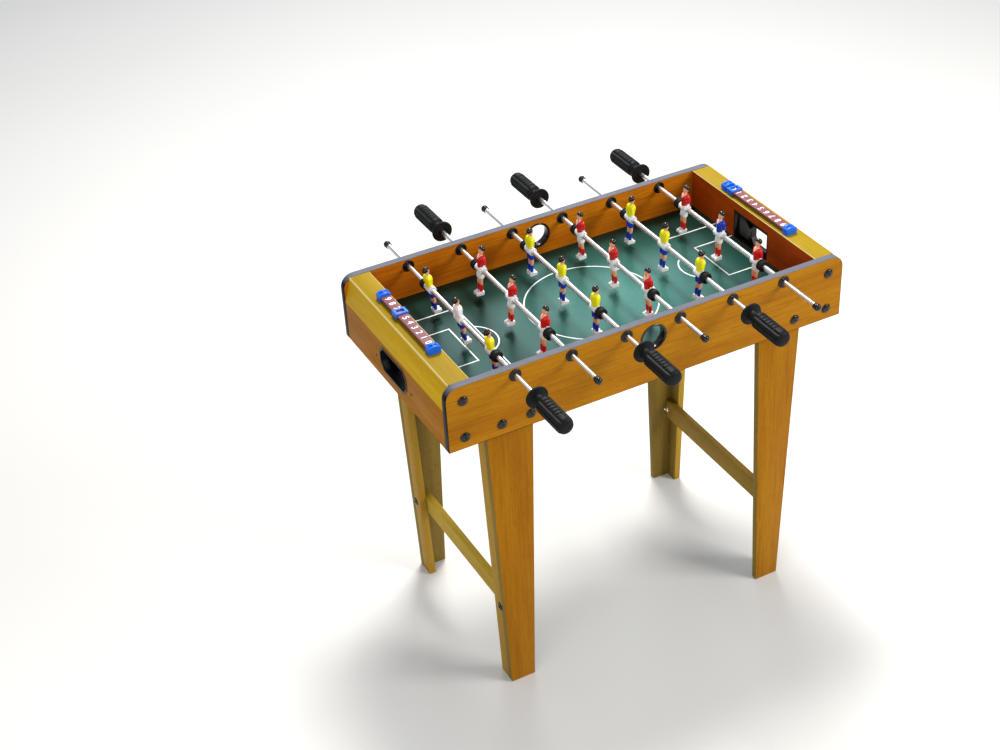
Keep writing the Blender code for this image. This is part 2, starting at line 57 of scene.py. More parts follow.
# Boards
PANEL_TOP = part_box("front_panel")[1].z
PANEL_CORNER_R = 0.021
BAND_THICKNESS = 0.0008
BOARD_THICKNESS = 0.009
EDGE_R = 0.0006
SIDE_NAMES = {"left": -1, "right": 1}
LONG_NAMES = {"front": -1, "back": 1}

# Rod bearings and the ball entry
BUSHING_PROUD = 0.0015
LONG_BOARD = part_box("front_panel")[1].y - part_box("front_panel")[0].y - 2 * BUSHING_PROUD
SLEEVE_R = 0.007
ENTRY_Z = 0.589
ENTRY_SLEEVE_R = 0.020
DRILL_LENGTH = 0.04

# Bolts through the long boards: distance from the middle, and height
BOLTS = ((0.318, 0.594), (0.318, 0.530), (0.258, 0.530), (0.210, 0.531))

# Goal ends
GOAL_HALF_WIDTH = 0.047
GOAL_TOP = 0.604
WALL_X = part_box("right_end_box")[0].x
CREASE_X = 0.334
FOLD_LINE = 0.0008
FOIL = 0.0012
FASCIA_FOOT_Z = 0.578
MOUTH_LOW = 0.5269
MOUTH_HIGH = 0.5704
MOUTH_HALF_WIDTH = 0.0468
MOUTH_CORNER = 0.0125
MOUTH_RIM = 0.0020
MOUTH_GAP = 0.0003
MOUTH_FLANGE = 0.0009
MOUTH_PROUD = 0.8 * MM
MOUTH_DEPTH = 5 * MM
EDGE_WEAR = 0.0004
MOUTH_SCREW = (0.0615, 0.541)

# Field markings
LINE_WIDTH = 0.0023
CIRCLE_R = 0.106
PENALTY_X = 0.190
PENALTY_Y = 0.0975
GOAL_AREA_X = 0.226
GOAL_AREA_Y = 0.050
ARC_APEX_X = 0.170
ARC_HALF_WIDTH = 0.036

# Score counters
BAR_WIDTH = 0.0165
BAR_LOW = 0.0045
BAR_HIGH = 0.008
BRACKET_LENGTH = 0.013
BRACKET_HALF_WIDTH = 0.0098
BRACKET_SIDE_HEIGHT = 0.0095
BRACKET_HEIGHT = 0.013
SLIDER_WINDOW = (0.0120, 0.0082)
MARKER_LIP = 0.0006
DIGIT_PITCH = 0.01545
DIGIT_SIZE = 0.0145

# Lowest points of a shirt's V neck and of its collar, in millimetres, and their slope
NECK_POINT = 19.6
COLLAR_POINT = 18.3
NECK_SLOPE = 0.62

# Legs
LEG_CENTRE = 0.2395
LEG_HALF_WIDTH = 0.021
LEG_TAPER = 0.035
LEG_BOARD = 0.012
LEG_RETURN = 0.035
STRETCHER_Z = 0.155
STRETCHER_HALF_HEIGHT = 0.017

# Rods
ROD_COUNT = 6
ROD_TILTS = (-8.0, -5.0, 1.0, 2.5, 5.0, -4.0)
ROD_R = 0.004
ROD_EDGE = 0.4 * MM
CAP_LENGTH = 0.012
CAP_GRASP = 0.0055


# ---------- modelling

def start(primitive, **options):
    """Add one primitive, alone in the selection."""
    if bpy.context.mode != "OBJECT":
        bpy.ops.object.mode_set(mode="OBJECT")
    bpy.ops.object.select_all(action="DESELECT")
    primitive(**options)
    return bpy.context.object


def activate(piece):
    """Make a piece the only one selected."""
    bpy.ops.object.select_all(action="DESELECT")
    piece.select_set(True)
    bpy.context.view_layer.objects.active = piece


@contextmanager
def editing(piece):
    """Work on one piece in edit mode."""
    activate(piece)
    bpy.ops.object.mode_set(mode="EDIT")
    yield
    bpy.ops.object.mode_set(mode="OBJECT")


def settle(piece):
    """Put a piece's place, turn and scale into its mesh."""
    activate(piece)
    bpy.ops.object.transform_apply(location=True, rotation=True, scale=True)
    return piece


def pick(test, kind="FACE"):
    """In edit mode, select what passes a test of its middle and its normal or direction."""
    mesh = bpy.context.edit_object.data
    bpy.ops.mesh.select_mode(type=kind)
    bpy.ops.mesh.select_all(action="DESELECT")
    shape = bmesh.from_edit_mesh(mesh)
    if kind == "FACE":
        for face in shape.faces:
            face.select_set(test(face.calc_center_median(), face.normal))
    elif kind == "EDGE":
        for edge in shape.edges:
            a, b = edge.verts[0].co, edge.verts[1].co
            edge.select_set(test((a + b) / 2, (b - a).normalized()))
    else:
        for vertex in shape.verts:
            vertex.select_set(test(vertex.co, vertex.normal))
    shape.select_flush_mode()
    bmesh.update_edit_mesh(mesh)


def apply(piece, kind, **settings):
    """Finish a piece with an applied modifier."""
    modifier = piece.modifiers.new(kind.lower(), kind)
    for key, value in settings.items():
        setattr(modifier, key, value)
    activate(piece)
    bpy.ops.object.modifier_apply(modifier=modifier.name)
    return piece


def bevel(piece, width, segments=2, angle=40):
    """Round the edges of a piece that are sharper than an angle."""
    return apply(piece, "BEVEL", width=width, segments=segments, limit_method="ANGLE",
                 angle_limit=math.radians(angle))


def cut(piece, *cutters):
    """Cut a piece with solids, which are then gone."""
    for cutter in cutters:
        apply(piece, "BOOLEAN", operation="DIFFERENCE", solver="EXACT", object=cutter)
        bpy.data.objects.remove(cutter, do_unlink=True)
    return piece


def smooth(piece, angle=35):
    """Shade a piece smooth up to an angle."""
    activate(piece)
    bpy.ops.object.shade_smooth_by_angle(angle=math.radians(angle))
    return piece


def join(pieces):
    """Join pieces into the first of them."""
    activate(pieces[0])
    for piece in pieces:
        piece.select_set(True)
    bpy.ops.object.join()
    return bpy.context.object


def box(low, high):
    """A box between two corners."""
    low, high = Vector(low), Vector(high)
    piece = start(bpy.ops.mesh.primitive_cube_add, size=1.0, location=(low + high) / 2)
    piece.scale = high - low
    return settle(piece)


def round_bar(radius, length, place, sides):
    """A round bar along Y."""
    bar = start(bpy.ops.mesh.primitive_cylinder_add, vertices=sides, radius=radius, depth=length,
                location=place, rotation=(math.radians(90), 0, 0))
    return settle(bar)


def stack(levels, sides=24, hollow=False):
    """A form grown upwards from a ring; a level is its middle x, y, z and its two half widths."""
    fill = "NOTHING" if hollow else "NGON"
    piece = start(bpy.ops.mesh.primitive_circle_add, vertices=sides, radius=1.0, fill_type=fill)
    with editing(piece):
        x, y, z, across, along = levels[0]
        bpy.ops.transform.resize(value=(across, along, 1.0), center_override=(0.0, 0.0, 0.0))
        bpy.ops.transform.translate(value=(x, y, z))
        for before, level in zip(levels, levels[1:]):
            step = [after - start_at for after, start_at in zip(level[:3], before[:3])]
            bpy.ops.mesh.extrude_region_move(TRANSFORM_OT_translate={"value": step})
            growth = (level[3] / before[3], level[4] / before[4], 1.0)
            bpy.ops.transform.resize(value=growth, center_override=level[:3])
        bpy.ops.mesh.select_all(action="SELECT")
        if hollow:
            bpy.ops.mesh.remove_doubles(threshold=SAME_PLACE)
        bpy.ops.mesh.normals_make_consistent(inside=False)
    return piece


def turned(profile, sides=32, hollow=False):
    """A round form about Z from pairs of radius and height; a hollow one ends where it began."""
    return stack([(0.0, 0.0, z, radius, radius) for radius, z in profile], sides, hollow)


def millimetres(*profile):
    """A profile of radius and height that is given in millimetres."""
    return [(radius * MM, z * MM) for radius, z in profile]


def ring_from(piece, axis, wall):
    """Open a block along an axis, leaving a wall all round."""
    with editing(piece):
        pick(lambda middle, normal: abs(normal[axis]) > 0.99)
        bpy.ops.mesh.inset(thickness=wall)
        bpy.ops.mesh.bridge_edge_loops()
        bpy.ops.mesh.select_all(action="SELECT")
        bpy.ops.mesh.normals_make_consistent(inside=False)
    return piece


def bevel_edges(piece, test, offset, segments):
    """Round the edges that pass a test of their middle and direction."""
    with editing(piece):
        pick(test, "EDGE")
        bpy.ops.mesh.bevel(offset=offset, segments=segments, affect="EDGES")
    return piece


def moved(piece, matrix):
    """Turn or shift a piece in its mesh."""
    piece.data.transform(matrix)
    if matrix.determinant() < 0:
        piece.data.flip_normals()
    return piece


def at(x, y, z):
    """A shift to a place."""
    return Matrix.Translation((x, y, z))


def spun(degrees, axis):
    """A turn about one axis."""
    return Matrix.Rotation(math.radians(degrees), 4, axis)


def copy_of(piece, matrix=Matrix.Identity(4)):
    """A copy with its own mesh."""
    twin = piece.copy()
    twin.data = piece.data.copy()
    bpy.context.scene.collection.objects.link(twin)
    return moved(twin, matrix)


def discard(*pieces):
    """Remove the patterns that copies were taken from."""
    for piece in pieces:
        bpy.data.objects.remove(piece, do_unlink=True)


# The record's slot for each finish that a whole piece may have
SLOTS = {finish: slot for slot, group in {
    "oak_laminate": ("goal_wall", "end_board", "left_stretcher", "right_stretcher"),
    "pale_board": ("top_board", "fascia"),
    "black_plastic": ("black_plastic", "gloss_black", "grip_black", "edge_band", "dark_steel"),
    "black_rubber": ("rubber",),
    "chrome": ("chrome", "zinc"),
    "maroon_rail": ("maroon", "white_print"),
    "blue_plastic": ("blue_plastic",),
}.items() for finish in group}


def coat(piece, *coats):
    """Give a piece one finish, or several for its faces to choose from."""
    piece.data.materials.clear()
    for finish in coats:
        piece.data.materials.append(finish)
    return piece


def fit(piece, name, finish, *stands_for, body="table"):
    """Name a finished piece, coat it and hang it on its body.

    A finish that is no slot's is itself the slot of a piece that is painted already.
    """
    piece.name = name
    piece.data.name = name
    if finish in SLOTS:
        coat(piece, FINISHES[finish])
    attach(piece, body)
    if stands_for:
        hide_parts(*stands_for)


def second_finish(piece, pair, test):
    """Give the faces that pass a test of middle and normal the second of two finishes."""
    coat(piece, *(FINISHES[name] for name in pair))
    for face in piece.data.polygons:
        face.material_index = 1 if test(face.center, face.normal) else 0
    return piece


# ---------- shader maths

FINISHES = {}


class Shade:
    """A value in a finish, whose arithmetic adds Math nodes."""

    def __init__(self, finish, socket):
        self.finish = finish
        self.socket = socket

    def maths(self, operation, *values):
        """Add one Math node."""
        return self.finish.add("ShaderNodeMath", {"operation": operation}, *values)

    def __add__(self, other):
        return self.maths("ADD", self, other)

    def __radd__(self, other):
        return self.maths("ADD", other, self)

    def __sub__(self, other):
        return self.maths("SUBTRACT", self, other)

    def __rsub__(self, other):
        return self.maths("SUBTRACT", other, self)

    def __mul__(self, other):
        return self.maths("MULTIPLY", self, other)

    def __rmul__(self, other):
        return self.maths("MULTIPLY", other, self)

    def __pow__(self, other):
        return self.maths("POWER", self, other)

    def __lt__(self, other):
        return self.maths("LESS_THAN", self, other)

    def __gt__(self, other):
        return self.maths("GREATER_THAN", self, other)

    def __or__(self, other):
        return self.maths("MAXIMUM", self, other)

    def __abs__(self):
        return self.maths("ABSOLUTE", self)


class Finish:
    """A procedural material that reads object coordinates, kept in FINISHES by its name."""

    def __init__(self, name, **sockets):
        material = FINISHES[name] = bpy.data.materials.new(name)
        material.use_nodes = True
        self.tree = material.node_tree
        self.shader = self.tree.nodes["Principled BSDF"]
        self.set(**sockets)
        self.place = self.add("ShaderNodeTexCoord", out="Object")

    def feed(self, socket, value):
        """Link a value to a socket, or set the socket to a number or colour."""
        if isinstance(value, Shade):
            self.tree.links.new(value.socket, socket)
        elif isinstance(value, tuple) and len(value) == 3 and socket.type == "RGBA":
            socket.default_value = (*value, 1.0)
        else:
            socket.default_value = value

    def set(self, **sockets):
        """Feed the shader's sockets; an underscore stands for a space in a name."""
        for key, value in sockets.items():
            self.feed(self.shader.inputs[key.replace("_", " ")], value)

    def add(self, kind, settings=None, *values, out=0, **sockets):
        """Add a node: its settings first, then values for its sockets in order or by name."""
        node = self.tree.nodes.new(kind)
        for key, value in (settings or {}).items():
            setattr(node, key, value)
        for socket, value in zip(node.inputs, values):
            self.feed(socket, value)
        for key, value in sockets.items():
            self.feed(node.inputs[key], value)
        return Shade(self, node.outputs[out])

    def scaled(self, scale):
        """Object coordinates stretched by a scale on each axis."""
        return self.add("ShaderNodeMapping", None, Vector=self.place, Scale=scale)

    def noise(self, scale, size=1.0, detail=2.0, roughness=0.5):
        """Noise from 0 to 1 in stretched coordinates."""
        return self.add("ShaderNodeTexNoise", None, Vector=self.scaled(scale), Scale=size,
                        Detail=detail, Roughness=roughness)

    def spread(self, value, low, high):
        """Stretch low..high to 0..1, clamped."""
        return self.add("ShaderNodeMapRange", None, value, low, high, 0.0, 1.0)

    def mix(self, share, first, second):
        """Mix two colours; a share of 1 is all of the second."""
        node = self.tree.nodes.new("ShaderNodeMix")
        node.data_type = "RGBA"
        for index, value in ((0, share), (6, first), (7, second)):
            self.feed(node.inputs[index], value)
        return Shade(self, node.outputs[2])

    def split(self):
        """X, Y and Z of the place."""
        node = self.tree.nodes.new("ShaderNodeSeparateXYZ")
        self.feed(node.inputs[0], self.place)
        return [Shade(self, socket) for socket in node.outputs]

    def bump(self, height, distance, strength=1.0):
        """Raise the surface by a height."""
        self.set(Normal=self.add("ShaderNodeBump", None, Height=height, Distance=distance,
                                 Strength=strength))


# ---------- finishes

def wood_grain(finish, axis, pale, deep, streak, contrast=1.0):
    """Soft bands, fine streaks and short dark pores along one axis of a board."""
    def along(run, cross):
        return tuple(run if index == axis else cross for index in range(3))

    bands = finish.noise(along(2.4, 24.0), detail=3.0, roughness=0.55)
    streaks = finish.noise(along(11.0, 420.0), detail=3.0, roughness=0.65)
    pores = finish.noise(along(60.0, 1100.0), detail=1.0)
    body = finish.mix(finish.spread(bands, 0.34, 0.68), deep, pale)
    lined = finish.mix(finish.spread(streaks, 0.46, 0.76) * (0.6 * contrast), body, streak)
    flecks = finish.spread(pores, 0.56, 0.70) * (0.38 * contrast)
    return finish.mix(flecks, lined, streak), streaks, flecks


FOLD_COLOUR = (0.72, 0.60, 0.26)


def laminate(name, axis, pale, deep, streak, roughness=0.42, gloss=0.06, folds=()):
    """Printed wood foil on board, with a paler line wherever it folds or ends."""
    finish = Finish(name, Specular_IOR_Level=gloss)
    colour, streaks, flecks = wood_grain(finish, axis, pale, deep, streak)
    from_middle = abs(finish.split()[0])
    for fold in folds:
        colour = finish.mix((abs(from_middle - fold) < FOLD_LINE) * 0.85, colour, FOLD_COLOUR)
    finish.set(Base_Color=colour, Roughness=roughness + 0.12 * streaks)
    finish.bump(streaks * -0.4 - flecks, 0.00012, 0.35)


def raw_board(name, axis, pale, deep, fleck):
    """Unfaced board: matt and mottled, with a faint saw grain."""
    finish = Finish(name, Specular_IOR_Level=0.3)
    colour, streaks, _ = wood_grain(finish, axis, pale, deep, fleck, 0.7)
    mottle = finish.noise((1.0, 1.0, 1.0), size=210.0, detail=3.0, roughness=0.65)
    colour = finish.mix(finish.spread(mottle, 0.52, 0.72) * 0.35, colour, fleck)
    finish.set(Base_Color=colour, Roughness=0.62 + 0.2 * mottle)
    finish.bump(mottle + 0.5 * streaks, 0.00025, 0.4)


def moulded(name, colour, roughness=0.35, grain=0.3, tone=0.12, coat=0.0, gloss=0.5):
    """Moulded plastic with a fine surface grain and slight changes of tone and gloss."""
    finish = Finish(name, Coat_Weight=coat, Coat_Roughness=0.08, Specular_IOR_Level=gloss)
    cloud = finish.noise((1.0, 1.0, 1.0), size=60.0, detail=3.0)
    fine = finish.noise((1.0, 1.0, 1.0), size=2600.0, detail=1.0)
    darker = tuple(channel * (1.0 - 2.0 * tone) for channel in colour)
    finish.set(Base_Color=finish.mix(cloud, colour, darker),
               Roughness=roughness + 0.10 * (cloud - 0.5) + 0.06 * (fine - 0.5))
    finish.bump(fine, 0.00006, grain)


def edge_plastic():
    """The band round a long board: grey along the top as a painted reflection of the sky, turning
    black down its two ends as painted shade.
    """
    finish = Finish("edge_band", Specular_IOR_Level=0.06)
    cloud = finish.noise((1.0, 1.0, 1.0), size=60.0, detail=3.0)
    height = finish.split()[2]
    painted_top_light = finish.spread(height, PANEL_TOP - 0.6 * PANEL_CORNER_R,
                           PANEL_TOP - 0.05 * PANEL_CORNER_R)
    grey = finish.mix(cloud, (0.150, 0.160, 0.195), (0.120, 0.130, 0.160))
    # Painted light: black for shade down the ends, grey for the sky's reflection along the top
    finish.set(Base_Color=finish.mix(painted_top_light, (0.003, 0.003, 0.004), grey),
               Roughness=0.40 + 0.12 * cloud)
    finish.bump(cloud, 0.0001, 0.1)


def painted(name, colour, shade, roughness=0.3):
    """Glossy paint on a moulded figure, darker in soft folds as painted shade, with a slight orange
    peel.
    """
    finish = Finish(name, Coat_Weight=0.15, Coat_Roughness=0.12, Specular_IOR_Level=0.4)
    folds = finish.noise((300.0, 300.0, 190.0), detail=2.0, roughness=0.55)
    peel = finish.noise((1.0, 1.0, 1.0), size=1500.0, detail=1.0)
    # Painted shade: the colour darkens to the shade colour where the fold noise is high
    finish.set(Base_Color=finish.mix(finish.spread(folds, 0.45, 0.8), colour, shade),
               Roughness=roughness + 0.12 * (peel - 0.4))
    finish.bump(folds * 2.0 + 0.15 * peel, 0.0004, 0.35)


def bright_steel(name, tint, roughness, axis):
    """Plated steel with faint drawing marks along one axis."""
    finish = Finish(name, Metallic=1.0)
    scale = tuple(4.0 if index == axis else 260.0 for index in range(3))
    marks = finish.noise(scale, detail=1.0)
    cloud = finish.noise((1.0, 1.0, 1.0), size=35.0, detail=2.0)
    dull = tuple(channel * 0.88 for channel in tint)
    finish.set(Base_Color=finish.mix(finish.spread(cloud, 0.4, 0.8), tint, dull),
               Roughness=roughness + 0.05 * marks + 0.04 * cloud)


def field_print():
    """The green field with its white markings."""
    finish = Finish("field_print", Specular_IOR_Level=0.32, Specular_Tint=(0.25, 1.0, 0.92, 1.0))
    x, y, _ = finish.split()
    from_middle, from_centre_line = abs(x), abs(y)
    half = LINE_WIDTH / 2

    def line(distance):
        return abs(distance) < half

    def distance_to(centre_x):
        return ((from_middle - centre_x) ** 2.0 + y ** 2.0) ** 0.5

    def area(front, side):
        front_line = line(from_middle - front) * (from_centre_line < side + half)
        return front_line | line(from_centre_line - side) * (from_middle > front - half)

    rise = PENALTY_X - ARC_APEX_X
    arc_r = (ARC_HALF_WIDTH ** 2 + rise ** 2) / (2 * rise)
    arc = line(distance_to(ARC_APEX_X + arc_r) - arc_r) * (from_middle < PENALTY_X)
    circle = line(distance_to(0.0) - CIRCLE_R)
    marks = circle | line(x) | arc | area(PENALTY_X, PENALTY_Y) | area(GOAL_AREA_X, GOAL_AREA_Y)
    cloud = finish.noise((1.0, 1.0, 1.0), size=9.0, detail=4.0, roughness=0.6)
    fine = finish.noise((1.0, 1.0, 1.0), size=420.0, detail=2.0)
    # A base green painted dark as shade, in a cloudy tone
    green = finish.mix(finish.spread(cloud, 0.3, 0.7), (0.002, 0.013, 0.008), (0.003, 0.021, 0.014))
    # Painted light: a paler pool of green right of the middle, where the light falls
    painted_light_pool = finish.spread(((x - 0.07) ** 2.0 + (y + 0.01) ** 2.0 * 1.6) ** 0.5, 0.25, 0.0)
    green = finish.mix(painted_light_pool, green, (0.040, 0.165, 0.138))
    green = finish.mix(finish.spread(fine, 0.45, 0.75) * 0.2, green, (0.003, 0.022, 0.015))
    finish.set(Base_Color=finish.mix(marks, green, (0.84, 0.86, 0.85)),
               Roughness=0.28 + 0.12 * fine)
    finish.bump(fine, 0.0001, 0.12)


def make_finishes():
    """Mix every finish of the table."""
    honey = dict(pale=(0.47, 0.205, 0.005), deep=(0.37, 0.138, 0.003), streak=(0.22, 0.066, 0.002))
    # The outer laminate made redder, as painted light for the warmer light on the inner faces
    inner_light_amber = dict(pale=(0.64, 0.205, 0.006), deep=(0.49, 0.132, 0.004), streak=(0.28, 0.062, 0.003))
    russet = dict(pale=(0.48, 0.076, 0.003), deep=(0.33, 0.046, 0.002), streak=(0.18, 0.022, 0.002))
    straw = dict(pale=(0.38, 0.258, 0.014), deep=(0.31, 0.202, 0.008), streak=(0.24, 0.145, 0.005))
    mustard = dict(pale=(0.66, 0.402, 0.006), deep=(0.56, 0.322, 0.005),
                   streak=(0.43, 0.228, 0.003))
    toffee = dict(pale=(0.41, 0.176, 0.004), deep=(0.32, 0.119, 0.003), streak=(0.19, 0.057, 0.002))
    chestnut = dict(pale=(0.42, 0.166, 0.003), deep=(0.32, 0.114, 0.002),
                    streak=(0.20, 0.066, 0.002))
    laminate("outer_panel", 0, **honey)
    laminate("inner_panel_painted_light", 0, **inner_light_amber)
    laminate("leg_face", 2, **toffee)
    laminate("goal_wall", 1, **russet)
    # Painted light: the top board and the fascia are one foil folded at the crease, given two colours
    # for the different light on the top and on the fascia
    laminate("top_board", 1, **straw, folds=(WALL_X, CREASE_X))
    laminate("fascia", 1, **mustard, folds=(CREASE_X,))
    laminate("end_board", 1, **chestnut, gloss=0.03)
    raw_board("leg_side", 2, (0.46, 0.268, 0.016), (0.36, 0.196, 0.010), (0.21, 0.112, 0.006))
    raw_board("leg_inside", 2, (0.27, 0.172, 0.018), (0.19, 0.118, 0.011), (0.08, 0.050, 0.006))
    # Painted light: the two stretchers are one raw board, the left paler where light falls on it, the
    # right darker in the shade under the table
    raw_board("left_stretcher", 1, (0.52, 0.352, 0.022), (0.41, 0.258, 0.015), (0.24, 0.130, 0.008))
    raw_board("right_stretcher", 1, (0.31, 0.186, 0.014), (0.23, 0.128, 0.010),
              (0.13, 0.064, 0.006))
    edge_plastic()
    moulded("black_plastic", (0.0045, 0.0045, 0.005), 0.36, 0.35, 0.15, gloss=0.28)
    moulded("gloss_black", (0.0035, 0.0035, 0.004), 0.22, 0.1, 0.15, gloss=0.45)
    moulded("grip_black", (0.006, 0.007, 0.008), 0.52, 0.5, 0.15, gloss=0.15)
    moulded("rubber", (0.008, 0.0075, 0.0075), 0.62, 0.8, 0.2, gloss=0.25)
    bright_steel("dark_steel", (0.10, 0.10, 0.105), 0.30, 2)
    bright_steel("zinc", (0.80, 0.81, 0.83), 0.16, 2)
    bright_steel("chrome", (0.97, 0.975, 0.98), 0.24, 1)
    moulded("blue_plastic", (0.004, 0.140, 0.82), 0.30, 0.15, 0.08, gloss=0.35)
    moulded("maroon", (0.235, 0.070, 0.085), 0.50, 0.3, 0.12, gloss=0.3)
    moulded("white_print", (0.86, 0.87, 0.86), 0.45, 0.2, 0.02)
    field_print()
    painted("hair", (0.010, 0.009, 0.009), (0.004, 0.004, 0.004), 0.22)
    painted("skin", (0.90, 0.47, 0.25), (0.70, 0.29, 0.13), 0.34)
    painted("white", (0.96, 0.97, 0.98), (0.86, 0.90, 0.94))
    painted("yellow", (0.98, 0.93, 0.001), (0.90, 0.80, 0.001))
    painted("red", (0.72, 0.010, 0.010), (0.45, 0.004, 0.005))
    painted("blue", (0.006, 0.040, 0.50), (0.003, 0.018, 0.28))


# ---------- cabinet

TO_BACK = spun(-90, "X")
TO_FRONT = spun(90, "X")


def rod_places():
    """X and Z of each rod's axis, from its turning joint."""
    joints = {joint["name"]: joint for joint in frame["joints"]}
    return [joints[f"rod_{number}_turn"]["pos_m"] for number in range(1, ROD_COUNT + 1)]


def rounded_board(low, high, radius):
    """An upright board with rounded top corners."""
    board = box(low, high)
    return bevel_edges(
        board, lambda middle, way: abs(way.y) > 0.9 and middle.z > high[2] - EDGE_R, radius, 10)


def liner(sleeve_r, sides, face):
    """A turned liner of a hole through a long board, from the profile of its outer face."""
    other = [(radius, -LONG_BOARD - z) for radius, z in reversed(face)]
    sleeve = [(sleeve_r, -LONG_BOARD), (sleeve_r, 0.0), face[0]]
    return smooth(turned(face + other + sleeve, sides, hollow=True), 30)


def bushing():
    """A rod's bearing through a long board: a dished flange on each face and a sleeve between."""
    return liner(SLEEVE_R, 40, millimetres(
        (10.0, 0.0), (10.0, 0.9), (9.3, 1.5), (7.0, 1.5), (6.4, 1.0), (5.5, 1.0), (5.1, 1.5),
        (4.3, 1.5)))


def entry_ring():
    """The ball entry's liner: a rim on each face of the board and a throat between."""
    return liner(ENTRY_SLEEVE_R, 64, millimetres(
        (22.5, 0.0), (22.5, 0.7), (21.9, 1.2), (20.6, 1.2), (19.0, 0.3), (18.3, -1.4),
        (18.0, -3.5)))


def cap_bolt():
    """A low domed bolt head with a cross recess."""
    head = turned(millimetres((8.0, 0.0), (8.0, 0.7), (7.6, 1.5), (6.6, 2.3), (5.2, 2.9),
                              (3.4, 3.3), (1.6, 3.45), (0.5, 3.48)), 36)
    for long_x, long_y in ((2.2, 0.45), (0.45, 2.2)):
        slot = box((-long_x * MM, -long_y * MM, 2.2 * MM), (long_x * MM, long_y * MM, 5 * MM))
        cut(head, slot)
    return smooth(head, 30)


def long_boards():
    """The two long boards with their edge bands, rod bearings, entry liners and bolts."""
    bearing, entry, bolt = bushing(), entry_ring(), cap_bolt()
    for word, side in LONG_NAMES.items():
        low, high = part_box(f"{word}_panel")
        low.y += BUSHING_PROUD
        high.y -= BUSHING_PROUD
        band = rounded_board(low, high, PANEL_CORNER_R)
        ring_from(band, 1, BAND_THICKNESS)
        bevel(band, 0.0003, 2, 60)
        fit(smooth(band), f"{word}_edge_band", "edge_band")
        inset = Vector((BAND_THICKNESS, 0.0, BAND_THICKNESS))
        board = rounded_board(low + inset, high - inset, PANEL_CORNER_R - BAND_THICKNESS)
        middle_y = (low.y + high.y) / 2
        outer = low.y if side < 0 else high.y
        holes = [(x, z, SLEEVE_R) for x, _, z in rod_places()] + [(0.0, ENTRY_Z, ENTRY_SLEEVE_R)]
        for x, z, radius in holes:
            cut(board, round_bar(radius + HAIR_GAP, DRILL_LENGTH, (x, middle_y, z), 40))
        # The inner faces take the redder copy of the laminate, as painted light
        second_finish(board, ("outer_panel", "inner_panel_painted_light"),
                      lambda middle, normal, side=side: normal.y * side < -0.5)
        fit(smooth(board), f"{word}_board", "oak_laminate", f"{word}_panel")
        face = TO_FRONT if side < 0 else TO_BACK
        for number, (x, _, z) in enumerate(rod_places(), 1):
            place = at(x, outer, z) @ face
            fit(copy_of(bearing, place), f"{word}_bushing_{number}", "black_plastic")
        place = at(0.0, outer, ENTRY_Z) @ face
        fit(copy_of(entry, place), f"{word}_entry_ring", "gloss_black")
        places = [(end * x, z) for end in (-1, 1) for x, z in BOLTS]
        for number, (x, z) in enumerate(places, 1):
            place = at(x, outer, z) @ face @ spun(37 * number, "Z")
            fit(copy_of(bolt, place), f"{word}_bolt_{number}", "gloss_black")
    discard(bearing, entry, bolt)


def eight_sided(low, high, corner):
    """A block along X whose four long edges are cut off."""
    block = box(low, high)
    return bevel_edges(block, lambda middle, way: abs(way.x) > 0.9, corner, 1)


